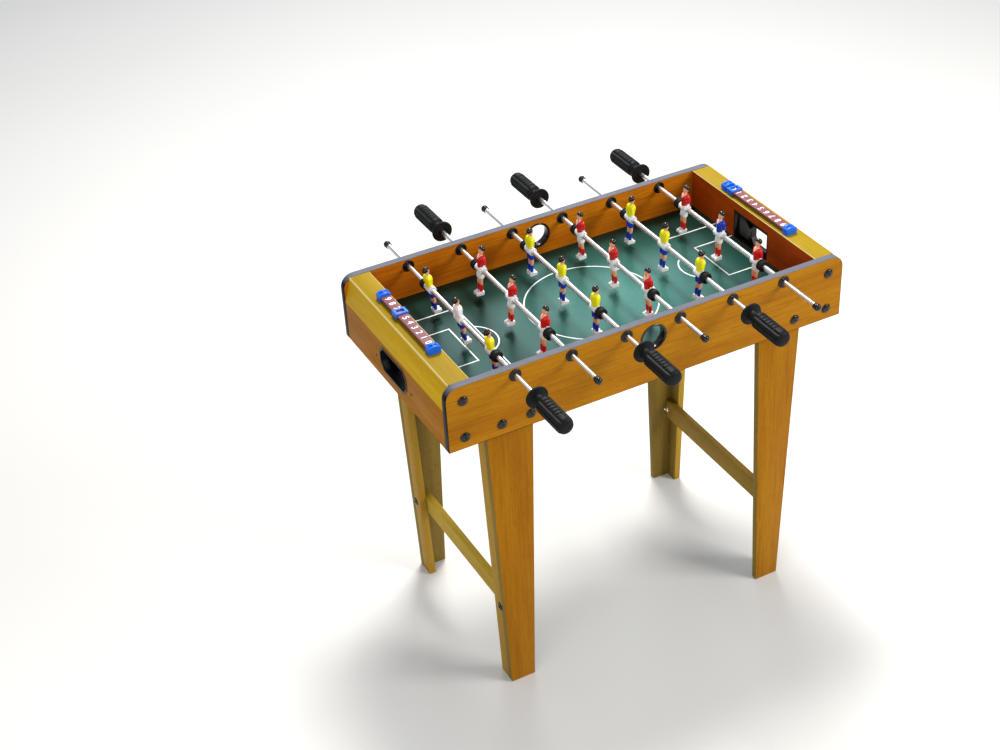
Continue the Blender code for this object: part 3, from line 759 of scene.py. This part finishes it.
def goal_end(word, side):
    """One folded end: goal wall, top board, fascia, end board and the mouth's rim and screws."""
    low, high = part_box(f"{word}_end_box")
    inner = min(abs(low.x), abs(high.x))
    outer = max(abs(low.x), abs(high.x))
    half = high.y
    top, foot = high.z, low.z

    def span(x0, x1, half_y, z0, z1):
        """Two corners of a block on this side of the table, as wide to the front as to the back."""
        x0, x1 = sorted((side * x0, side * x1))
        return (x0, -half_y, z0), (x1, half_y, z1)

    wall = box(*span(inner, inner + BOARD_THICKNESS, half, foot, top - FOIL))
    field_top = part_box("field_board")[1].z
    cut(wall, box(*span(inner - BOARD_THICKNESS, inner + 2 * BOARD_THICKNESS, GOAL_HALF_WIDTH,
                        field_top, GOAL_TOP)))
    bevel(wall, EDGE_WEAR, 2)
    fit(smooth(wall), f"{word}_goal_wall", "goal_wall")

    board = box(*span(inner, CREASE_X, half, top - BOARD_THICKNESS, top))
    cut(board, box(*span(inner - BOARD_THICKNESS, inner + BOARD_THICKNESS + 0.1 * MM, 2 * half,
                         0, top - FOIL + HAIR_GAP)))
    bevel(board, EDGE_WEAR, 2)
    fit(smooth(board), f"{word}_top_board", "top_board")

    run, drop = outer - CREASE_X, top - FASCIA_FOOT_Z
    slope = math.hypot(run, drop)
    fascia = bevel(box((-BOARD_THICKNESS, -half, -slope), (0.0, half, 0.0)), 0.0006, 3)
    lean = Matrix.Rotation(-math.atan2(run, drop), 4, "Y")
    flip = Matrix.Diagonal((side, 1, 1, 1))
    moved(fascia, flip @ at(CREASE_X, 0.0, top) @ lean)
    fit(smooth(fascia), f"{word}_fascia", "fascia")

    def mouth(x0, x1, grow):
        """An eight-sided block as large as the mouth, and a little more."""
        return eight_sided(*span(x0, x1, MOUTH_HALF_WIDTH + grow, MOUTH_LOW - grow,
                                 MOUTH_HIGH + grow), MOUTH_CORNER)

    end = box(*span(outer - BOARD_THICKNESS, outer, half, foot, FASCIA_FOOT_Z))
    cut(end, mouth(outer - 2 * BOARD_THICKNESS, outer + BOARD_THICKNESS, 0.0))
    bevel(end, 0.0005, 2)
    fit(smooth(end), f"{word}_end_board", "end_board", f"{word}_end_box")

    proud = outer + MOUTH_PROUD
    rim = ring_from(mouth(outer - MOUTH_DEPTH, proud, -MOUTH_GAP), 0, MOUTH_RIM)
    flange = ring_from(mouth(outer + HAIR_GAP, proud, MOUTH_FLANGE), 0, MOUTH_FLANGE + MOUTH_GAP)
    rim = bevel(join([rim, flange]), 0.0003, 2)
    fit(smooth(rim), f"{word}_mouth_rim", "black_plastic")

    screw = turned(millimetres((2.6, 0.0), (2.6, 0.3), (1.9, 1.0), (0.5, 1.3)), 24)
    cut(screw, box((-1.6 * MM, -0.3 * MM, 0.7 * MM), (1.6 * MM, 0.3 * MM, 3 * MM)))
    smooth(screw)
    for number, y in enumerate((-MOUTH_SCREW[0], MOUTH_SCREW[0]), 1):
        place = at(side * outer, y, MOUTH_SCREW[1]) @ spun(90 * side, "Y")
        fit(copy_of(screw, place), f"{word}_mouth_screw_{number}", "dark_steel")
    discard(screw)
    coat(frame["nodes"][f"{word}_goal_cup"], FINISHES["black_plastic"])


# ---------- score counters

def bracket(low_y, base):
    """An arched stand for one end of a score bar, with two pockets on top and one in its end."""
    half, rise = BRACKET_HALF_WIDTH, BRACKET_HEIGHT - BRACKET_SIDE_HEIGHT
    crown = (half * half + rise * rise) / (2 * rise)
    block = round_bar(crown, BRACKET_LENGTH, (0, 0, base + BRACKET_HEIGHT - crown), 96)
    with editing(block):
        sides = (((0, 0, base), (0, 0, -1)), ((half, 0, 0), (1, 0, 0)), ((-half, 0, 0), (-1, 0, 0)))
        for place, way in sides:
            bpy.ops.mesh.select_all(action="SELECT")
            bpy.ops.mesh.bisect(plane_co=place, plane_no=way, use_fill=True, clear_outer=True)
    for x in (-3.4 * MM, 3.4 * MM):
        pocket = box((x - 2.2 * MM, -1.5 * MM, base + BRACKET_HEIGHT - 5 * MM),
                     (x + 2.2 * MM, 1.3 * MM, base + 2 * BRACKET_HEIGHT))
        cut(block, pocket)
    cut(block, round_bar(1.0 * MM, 2 * MM, (0, -BRACKET_LENGTH / 2, base + 5.2 * MM), 20))
    bevel(block, 0.0005, 3, 30)
    return moved(smooth(block, 40), at(0, low_y, 0))


def numeral(text, size):
    """A raised number, made a mesh, with its foot towards -X and its middle at the origin."""
    piece = start(bpy.ops.object.text_add)
    piece.data.body = text
    piece.data.size = size
    piece.data.align_x = "CENTER"
    piece.data.align_y = "CENTER"
    piece.data.extrude = 0.08 * MM
    piece.data.offset = 0.18 * MM
    activate(piece)
    bpy.ops.object.convert(target="MESH")
    return moved(bpy.context.object, spun(-90, "Z"))


def score_counter(word, side):
    """A score bar with its brackets, its numbers from 0 to 9 and its sliding marker."""
    low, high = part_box(f"{word}_score_rail")
    centre_x, base = (low.x + high.x) / 2, low.z
    half = BAR_WIDTH / 2
    end_y = high.y - BRACKET_LENGTH / 2
    place = at(centre_x, 0, 0) @ spun(90 * (1 + side), "Z")

    bar = bevel(box((-half, -end_y, base + BAR_LOW), (half, end_y, base + BAR_HIGH)), 0.0005, 3)
    fit(moved(smooth(bar), place), f"{word}_score_bar", "maroon", f"{word}_score_rail")
    near = bracket(-end_y, base)
    far = copy_of(near, spun(180, "Z"))
    names = ("front", "back") if side < 0 else ("back", "front")
    for name, stand in zip(names, (near, far)):
        fit(moved(stand, place), f"{word}_{name}_score_bracket", "blue_plastic")

    numbers = []
    for value in range(10):
        y = (value - 4.5) * DIGIT_PITCH
        lift = at(0.0, y, base + BAR_HIGH + HAIR_GAP)
        numbers.append(moved(numeral(str(value), DIGIT_SIZE), lift))
    fit(moved(join(numbers), place), f"{word}_score_numbers", "white_print")

    low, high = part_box(f"{word}_score_slider")
    middle = (low + high) / 2
    low.x -= MARKER_LIP
    high.x += MARKER_LIP
    marker = bevel(box(low, high), 0.0009, 4)
    slot_high = base + BAR_HIGH + 0.3 * MM
    cut(marker, box((middle.x - half - 0.3 * MM, low.y - 5 * MM, base + BAR_LOW - 0.3 * MM),
                    (middle.x + half + 0.3 * MM, high.y + 5 * MM, slot_high)))
    window_x, window_y = SLIDER_WINDOW[0] / 2, SLIDER_WINDOW[1] / 2
    cut(marker, box((middle.x - window_x, middle.y - window_y, slot_high - 0.5 * MM),
                    (middle.x + window_x, middle.y + window_y, high.z + 5 * MM)))
    bevel(marker, 0.0002, 2, 50)
    fit(smooth(marker), f"{word}_marker", "blue_plastic", f"{word}_score_slider",
        body=f"{word}_slider")


# ---------- legs

def legs():
    """Four tapered legs, each a wide board and a return board, with stretchers and their bolts."""
    low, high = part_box("front_left_leg")
    top, face_y = high.z, -low.y
    shift = LEG_TAPER * top

    def tapered(corner, opposite):
        board = box(corner, opposite)
        with editing(board):
            for way in (-1, 1):
                pick(lambda point, _, way=way: point.z > top / 2 and point.x * way > 0, "VERT")
                bpy.ops.transform.translate(value=(way * shift, 0, 0))
        return smooth(bevel(board, 0.0008, 2))

    wide = tapered((-LEG_HALF_WIDTH, 0, 0), (LEG_HALF_WIDTH, LEG_BOARD - HAIR_GAP, top))
    inner = LEG_HALF_WIDTH - LEG_BOARD
    back = tapered((inner, LEG_BOARD, 0), (LEG_HALF_WIDTH, LEG_RETURN, top))
    second_finish(wide, ("leg_inside", "leg_face"), lambda middle, normal: normal.y < -0.5)
    second_finish(back, ("leg_inside", "leg_side"),
                  lambda middle, normal: normal.x > 0.5 or normal.y > 0.5)
    head = smooth(turned(millimetres(
        (7.4, 0.0), (7.4, 0.6), (6.9, 1.2), (5.2, 1.9), (3.0, 2.2), (2.7, 1.0))))
    nut = smooth(turned(millimetres(
        (6.0, 0.0), (6.0, 0.6), (5.2, 1.2), (3.4, 1.5), (3.1, 3.2), (2.4, 3.5), (1.6, 2.4))))
    lean = math.atan(LEG_TAPER)
    outer_x = LEG_CENTRE + LEG_HALF_WIDTH + LEG_TAPER * STRETCHER_Z
    inner_x = outer_x - LEG_BOARD
    for x_word, side_x in SIDE_NAMES.items():
        for y_word, side_y in LONG_NAMES.items():
            place = at(side_x * LEG_CENTRE, side_y * face_y, 0)
            place = place @ Matrix.Diagonal((side_x, -side_y, 1, 1))
            name = f"{y_word}_{x_word}_leg"
            fit(copy_of(wide, place), f"{name}_face", "oak_laminate", name)
            fit(copy_of(back, place), f"{name}_return", "oak_laminate")
            y = side_y * (face_y - LEG_BOARD - 4.8 * MM)
            turn = Matrix.Rotation(side_x * (math.radians(90) + lean), 4, "Y")
            place = at(side_x * outer_x, y, STRETCHER_Z) @ turn
            fit(copy_of(head, place), f"{name}_bolt", "gloss_black")
            turn = Matrix.Rotation(-side_x * (math.radians(90) - lean), 4, "Y")
            nut_x = side_x * (inner_x - LEG_BOARD - 0.3 * MM)
            place = at(nut_x, y, STRETCHER_Z) @ turn
            fit(copy_of(nut, place), f"{name}_nut", "zinc")
        node = f"{x_word}_stretcher"
        half_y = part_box(node)[1].y
        rail = bevel(box((-LEG_BOARD, -half_y, -STRETCHER_HALF_HEIGHT),
                         (0, half_y, STRETCHER_HALF_HEIGHT)), 0.0009, 2)
        place = Matrix.Diagonal((side_x, 1, 1, 1)) @ at(inner_x - 0.3 * MM, 0, STRETCHER_Z)
        place = place @ Matrix.Rotation(lean, 4, "Y")
        # Each stretcher takes the finish of its own name: the left painted lit, the right painted in
        # shade
        fit(moved(smooth(rail), place), f"{x_word}_cross_rail", node, node)
    discard(wide, back, head, nut)


# ---------- rods

def handle(length):
    """A grip from its foot up: flange, waist, shoulder, barrel grooved along and domed end.

    Its upper side, towards +Y, is notched across instead. Widths and heights are in millimetres.
    """
    sides = 60
    grip, end = 13.6, length / MM
    rib_low, rib_high = 24.0, end - 10.0
    profile = [
        (4.3, 60.0), (4.3, 1.2), (7.0, 1.2), (7.6, 0.0), (16.4, 0.0), (17.5, 0.8), (17.5, 3.0),
        (16.6, 4.0), (12.2, 4.6), (9.8, 5.8), (9.2, 8.0), (9.1, 16.5), (9.9, 18.3), (12.0, 20.0),
        (13.3, 22.0),
    ]
    notches = 7
    pitch = (rib_high - rib_low) / notches
    for step in range(notches):
        foot = rib_low + step * pitch
        profile += [(grip, foot), (grip, foot + pitch - 3.2), (grip, foot + pitch - 2.6),
                    (grip, foot + pitch - 1.0), (grip, foot + pitch - 0.4)]
    profile += [
        (grip, end - 8.0), (13.0, end - 5.0), (11.6, end - 2.3), (9.3, end - 0.7), (6.0, end),
        (0.8, end),
    ]
    barrel = turned(millimetres(*profile), sides)

    def pull_in(wanted, share, low, high):
        """Draw the wanted rows of points in towards the middle, between two heights."""
        def chosen(point, _):
            step = round(math.degrees(math.atan2(point.y, point.x)) / (360 / sides)) % sides
            return wanted(step) and low * MM < point.z < high * MM and point.to_2d().length > 9 * MM
        pick(chosen, "VERT")
        bpy.ops.transform.resize(value=(share, share, 1.0), center_override=(0, 0, 0))

    grooves = (0, 9, 21, 27, 33, 39, 45, 51, 57)
    with editing(barrel):
        pull_in(lambda step: step in grooves, 0.87, rib_low - 1, end - 4.5)
        pull_in(lambda step: step + 1 in grooves or step - 1 in grooves, 0.94, rib_low - 1,
                end - 4.5)
        for step in range(1, notches):
            foot = rib_low + step * pitch
            pull_in(lambda place: 11 <= place <= 19, 0.90, foot - 2.8, foot - 0.8)
    return smooth(barrel, 30)


def end_cap():
    """A rod's push-on end cap with a collar and a rounded tip; its mouth is at the origin."""
    return smooth(turned(millimetres(
        (4.0, 6.0), (4.0, 0.0), (4.8, 0.0), (5.1, 0.4), (5.1, 2.6), (4.5, 3.0), (4.4, 3.9),
        (5.1, 4.5), (5.7, 5.8), (5.9, 7.4), (5.6, 9.2), (4.7, 10.7), (3.2, 11.7), (1.6, 12.0),
        (0.4, 12.0))), 32)


def rubber_ring(length):
    """A thick rubber bumper with rounded corners and a groove round its middle."""
    end = length / MM
    return smooth(turned(millimetres(
        (4.3, 0.0), (7.9, 0.0), (8.7, 0.3), (9.0, 1.1), (9.0, end / 2 - 1.2), (8.3, end / 2 - 0.6),
        (8.3, end / 2 + 0.6), (9.0, end / 2 + 1.2), (9.0, end - 1.1), (8.7, end - 0.3), (7.9, end),
        (6.6, end), (6.2, end - 0.5), (4.3, end - 0.5), (4.3, 0.0)), 40, hollow=True), 40)


def open_neck(shirt, paints):
    """Score a V neck and its collar into a shirt's front, then paint them."""
    with editing(shirt):
        for point in (NECK_POINT, COLLAR_POINT):
            for side in (-1, 1):
                bpy.ops.mesh.select_all(action="SELECT")
                bpy.ops.mesh.bisect(plane_co=(0, 0, point), plane_no=(0, side, -NECK_SLOPE))
    shirt.data.materials.append(paints["skin"])
    shirt.data.materials.append(paints["trim"])
    for face in shirt.data.polygons:
        x, y, z = face.center
        if x > 0 and abs(y) < NECK_SLOPE * (z - NECK_POINT):
            face.material_index = 1
        elif x > 0 and abs(y) < NECK_SLOPE * (z - COLLAR_POINT):
            face.material_index = 2


def figure(paints):
    """One player in millimetres, facing +X round a rod along Y, as one piece of many paints."""
    parts = []

    def paint(piece, finish, rounded=True):
        """Keep a part of the figure in one paint, softened unless it is finished already."""
        piece.data.materials.append(paints[finish])
        if rounded:
            apply(piece, "SUBSURF", levels=1, render_levels=1)
        parts.append(piece)
        return piece

    shirt = paint(stack([
        (0, 0, -4.6, 4.0, 5.4), (0, 0, -4.4, 5.4, 6.7), (0, 0, 0, 5.6, 7.0), (0.1, 0, 5, 5.4, 6.6),
        (0.3, 0, 10, 5.7, 6.7), (0.6, 0, 15, 6.5, 7.6), (0.5, 0, 19, 6.7, 8.4),
        (0.2, 0, 22.4, 5.9, 8.2), (0, 0, 24.5, 4.5, 6.2), (0, 0, 25.6, 3.2, 3.7),
        (0, 0, 25.9, 1.9, 2.3)], 28), "shirt")
    open_neck(shirt, paints)
    # Neck, head and nose
    paint(stack([
        (0, 0, 23, 2.5, 2.6), (0.1, 0, 25, 2.3, 2.4), (0.3, 0, 28, 2.3, 2.3)], 16), "skin")
    paint(stack([
        (1.2, 0, 26.2, 1.0, 1.1), (1.1, 0, 26.6, 2.4, 2.3), (0.7, 0, 28.2, 3.7, 3.3),
        (0.3, 0, 30.6, 4.4, 4.0), (0, 0, 33.4, 4.7, 4.4), (-0.2, 0, 36.2, 4.6, 4.3),
        (-0.3, 0, 38.3, 3.4, 3.2), (-0.3, 0, 39.2, 1.4, 1.3)], 24), "skin")
    paint(stack([
        (4.5, 0, 29.9, 0.5, 0.6), (4.9, 0, 30.5, 0.9, 0.9), (4.8, 0, 31.6, 0.7, 0.6),
        (4.4, 0, 33.2, 0.4, 0.4)], 10), "skin")
    # On each side: ear, sleeve, forearm, leg of the shorts, leg, sock and boot
    for y in (-1, 1):
        paint(stack([
            (-0.2, 4.2 * y, 29.9, 0.5, 0.4), (-0.3, 4.5 * y, 30.6, 0.9, 0.6),
            (-0.5, 4.7 * y, 32.0, 1.2, 0.6), (-0.4, 4.5 * y, 33.0, 0.6, 0.4)], 10), "skin")
        paint(stack([
            (-0.2, 6.2 * y, 24.0, 1.4, 1.0), (-0.3, 6.9 * y, 23.0, 3.4, 2.4),
            (-0.7, 7.6 * y, 19.8, 3.8, 2.4), (-1.5, 8.0 * y, 15.8, 3.3, 2.0),
            (-2.2, 8.1 * y, 12.4, 2.7, 1.9), (-1.9, 8.0 * y, 9.6, 2.6, 1.9),
            (-1.8, 8.0 * y, 9.2, 1.4, 1.2)], 16), "shirt")
        paint(stack([
            (-1.8, 8.0 * y, 9.9, 1.5, 1.2), (-1.6, 8.1 * y, 9.2, 2.4, 1.7),
            (-0.9, 8.1 * y, 7.0, 2.5, 1.6), (0.2, 7.9 * y, 4.6, 2.3, 1.4),
            (0.6, 7.8 * y, 3.4, 1.0, 0.7)], 14), "trim")
        paint(stack([
            (0, 3.0 * y, -3.5, 4.9, 3.4), (0.1, 3.2 * y, -8, 5.3, 3.5),
            (0.3, 3.4 * y, -12.5, 5.1, 3.5), (0.4, 3.5 * y, -15.5, 4.9, 3.4),
            (0.4, 3.5 * y, -15.8, 3.8, 2.7)], 20), "shorts")
        paint(stack([
            (0.4, 3.5 * y, -13.5, 3.3, 2.6), (0.6, 3.5 * y, -18, 3.1, 2.5),
            (1.0, 3.5 * y, -21.5, 3.3, 2.6), (0.6, 3.5 * y, -25, 2.7, 2.3),
            (0.3, 3.5 * y, -28, 2.6, 2.3)], 16), "skin")
        paint(stack([
            (0.3, 3.5 * y, -26.2, 2.5, 2.2), (0.3, 3.5 * y, -26.4, 3.3, 2.8),
            (0.2, 3.5 * y, -27.9, 3.3, 2.8), (0, 3.5 * y, -28.7, 3.0, 2.6),
            (-0.2, 3.5 * y, -32, 3.3, 2.8), (0, 3.5 * y, -36, 2.8, 2.4),
            (0.2, 3.5 * y, -40.5, 2.7, 2.4)], 16), "socks")
        boot = box((-4.4, 3.6 * y - 2.95, -45.5), (8.8, 3.6 * y + 2.95, -38.6))
        with editing(boot):
            bpy.ops.mesh.select_all(action="SELECT")
            bpy.ops.mesh.subdivide(number_cuts=2)
            pick(lambda point, _: point.z > -39 and point.x > 1, "VERT")
            bpy.ops.transform.translate(value=(0, 0, -1.3))
            pick(lambda point, _: point.z > -40.5 and point.x > 6, "VERT")
            bpy.ops.transform.translate(value=(-0.8, 0, -1.2))
            pick(lambda point, _: point.x > 6, "VERT")
            bpy.ops.transform.resize(value=(1.0, 0.86, 1.0), center_override=(8.8, 3.6 * y, -45.5))
        bevel(boot, 0.8, 2, 30)
        paint(smooth(boot, 50), "boots", rounded=False)
    hub = [(6.6, -9.3), (6.6, 9.3), (6.0, 10), (5.0, 10), (4.7, 9.2), (4.2, 9.2)]
    hub += [(radius, -y) for radius, y in reversed(hub[1:])] + [hub[0]]
    sleeve = turned(hub, 32, hollow=True)
    paint(moved(sleeve, TO_BACK), "trim", rounded=False)

    dome = start(bpy.ops.mesh.primitive_uv_sphere_add, segments=32, ring_count=20, radius=1.0)
    dome.scale = (5.5, 5.15, 5.5)
    dome.location = (-0.6, 0, 34.4)
    with editing(settle(dome)):
        bpy.ops.mesh.select_all(action="SELECT")
        bpy.ops.mesh.bisect(
            plane_co=(4.4, 0, 36.4), plane_no=(0.60, 0, -0.80), use_fill=True, clear_outer=True)
    bevel(dome, 0.35, 2, 50)
    paint(smooth(dome, 40), "hair", rounded=False)
    for piece in parts:
        smooth(piece, 50)
    return moved(join(parts), Matrix.Diagonal((MM, MM, MM, 1)))


# Paints of shirt, shorts and socks; trim and boots are always white
KITS = {
    "yellow_player": ("yellow", "blue", "blue"),
    "red_player": ("red", "white", "red"),
    "white_keeper": ("white", "blue", "blue"),
    "blue_keeper": ("blue", "white", "red"),
}
KEEPERS = {1: "white_keeper", ROD_COUNT: "blue_keeper"}


def dress(piece, kit):
    """Swap a figure's stand-in paints for those of its kit."""
    shirt, shorts, socks = KITS[kit]
    wears = {"shirt": shirt, "trim": "white", "shorts": shorts, "socks": socks, "boots": "white"}
    for index, material in enumerate(piece.data.materials):
        if material.name in wears:
            piece.data.materials[index] = FINISHES[wears[material.name]]


def rods():
    """Six rods with their grips, caps, bumpers and players."""
    words = ("shirt", "trim", "shorts", "socks", "boots")
    stand_ins = {word: bpy.data.materials.new(word) for word in words}
    player = figure({**FINISHES, **stand_ins})
    low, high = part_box("rod_1_handle")
    grip = handle(high.y - low.y)
    cap = end_cap()
    for number, (x, _, z) in enumerate(rod_places(), 1):
        body, kit = f"rod_{number}", "yellow_player" if number % 2 else "red_player"
        shaft_low, shaft_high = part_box(f"rod_{number}_shaft")
        grip_low, grip_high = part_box(f"rod_{number}_handle")
        if grip_low.y < shaft_low.y:
            foot, inside, cap_mouth = grip_high.y, shaft_low.y, shaft_high.y - CAP_LENGTH
            towards, away, half_turn = TO_FRONT, TO_BACK, 0
        else:
            foot, inside, cap_mouth = grip_low.y, shaft_high.y, shaft_low.y + CAP_LENGTH
            towards, away, half_turn = TO_BACK, TO_FRONT, 180
        turn = spun(half_turn, "Z")

        length = abs(cap_mouth - inside) + CAP_GRASP
        tube = turned([
            (ROD_R - ROD_EDGE, 0.0), (ROD_R, ROD_EDGE), (ROD_R, length / 2),
            (ROD_R, length - ROD_EDGE), (ROD_R - ROD_EDGE, length)], 40)
        place = at(x, inside, z) @ away
        fit(moved(smooth(tube), place), f"{body}_tube", "chrome", f"{body}_shaft", body=body)
        place = at(x, cap_mouth, z) @ away
        fit(copy_of(cap, place), f"{body}_end_cap", "gloss_black", body=body)
        place = at(x, foot, z) @ towards @ turn
        fit(copy_of(grip, place), f"{body}_grip", "grip_black", f"{body}_handle", body=body)

        tilt = spun(ROD_TILTS[number - 1], "Y")
        for word in ("handle_side", "middle", "cap_side"):
            node = f"{body}_player_{word}"
            low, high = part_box(node)
            twin = copy_of(player, at(x, (low.y + high.y) / 2, z) @ turn @ tilt)
            wears = KEEPERS.get(number, kit) if word == "middle" else kit
            dress(twin, wears)
            fit(twin, f"player_{number}_{word}", wears, node, body=body)
        for word in ("handle_side", "cap_side"):
            node = f"{body}_bumper_{word}"
            low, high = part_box(node)
            base, way = (low.y, TO_BACK) if low.y > 0 else (high.y, TO_FRONT)
            ring = moved(rubber_ring(high.y - low.y), at(x, base, z) @ way)
            fit(ring, f"bumper_{number}_{word}", "rubber", node, body=f"{body}_bumpers")
    discard(player, grip, cap)
    for material in stand_ins.values():
        bpy.data.materials.remove(material)


# ---------- stage

CAMERA_PLACE = (-1.1339, -1.9663, 2.0044)
CAMERA_TURN = (-26.18, 34.93, -3.35)
CAMERA_LENS = 61.58


def camera():
    """A camera from the front left and above; its turn is azimuth, elevation and roll."""
    azimuth, elevation, roll = (math.radians(angle) for angle in CAMERA_TURN)
    lens = bpy.data.cameras.new("camera")
    lens.lens = CAMERA_LENS
    lens.sensor_width = 36.0
    eye = bpy.data.objects.new("camera", lens)
    bpy.context.scene.collection.objects.link(eye)
    turn = Matrix.Rotation(azimuth, 4, "Z") @ Matrix.Rotation(math.radians(90) - elevation, 4, "X")
    eye.matrix_world = Matrix.Translation(CAMERA_PLACE) @ turn @ Matrix.Rotation(roll, 4, "Z")
    bpy.context.scene.camera = eye


def soft_light(name, place, target, size, watts, colour):
    """A square area light that faces a point."""
    lamp = bpy.data.lights.new(name, "AREA")
    lamp.size = size
    lamp.energy = watts
    lamp.color = colour
    holder = bpy.data.objects.new(name, lamp)
    bpy.context.scene.collection.objects.link(holder)
    holder.location = place
    holder.rotation_euler = (Vector(target) - Vector(place)).to_track_quat("-Z", "Y").to_euler()


def stage():
    """A pale floor, a pale surround and soft studio lights."""
    floor = start(bpy.ops.mesh.primitive_plane_add, size=14.0, location=(0, 0, 0))
    floor.name = "floor"
    finish = Finish("floor", Roughness=0.7)
    cloud = finish.noise((1.0, 1.0, 1.0), size=1.5, detail=2.0)
    finish.set(Base_Color=finish.mix(cloud, (0.80, 0.79, 0.77), (0.76, 0.755, 0.74)))
    coat(floor, FINISHES["floor"])
    world = bpy.data.worlds.new("studio")
    world.use_nodes = True
    world.node_tree.nodes["Background"].inputs["Color"].default_value = (0.86, 0.90, 0.96, 1.0)
    world.node_tree.nodes["Background"].inputs["Strength"].default_value = 0.48
    bpy.context.scene.world = world
    middle = (0.0, 0.0, 0.5)
    soft_light("overhead", (0.5, 0.95, 2.9), middle, 0.7, 78.0, (1.0, 0.97, 0.92))
    soft_light("side", (1.9, -1.9, 1.95), middle, 1.2, 56.0, (1.0, 0.96, 0.90))
    soft_light("fill", (-2.3, -1.9, 1.5), middle, 2.2, 26.0, (1.0, 0.98, 0.95))
    soft_light("glow", (1.35, 2.9, 2.5), middle, 1.3, 26.0, (0.94, 0.98, 1.0))
    bpy.context.scene.view_settings.view_transform = "Standard"


# ---------- the table

make_finishes()
camera()
long_boards()
coat(frame["nodes"]["field_board"], FINISHES["field_print"])
for word, side in SIDE_NAMES.items():
    goal_end(word, side)
    score_counter(word, side)
legs()
rods()
stage()
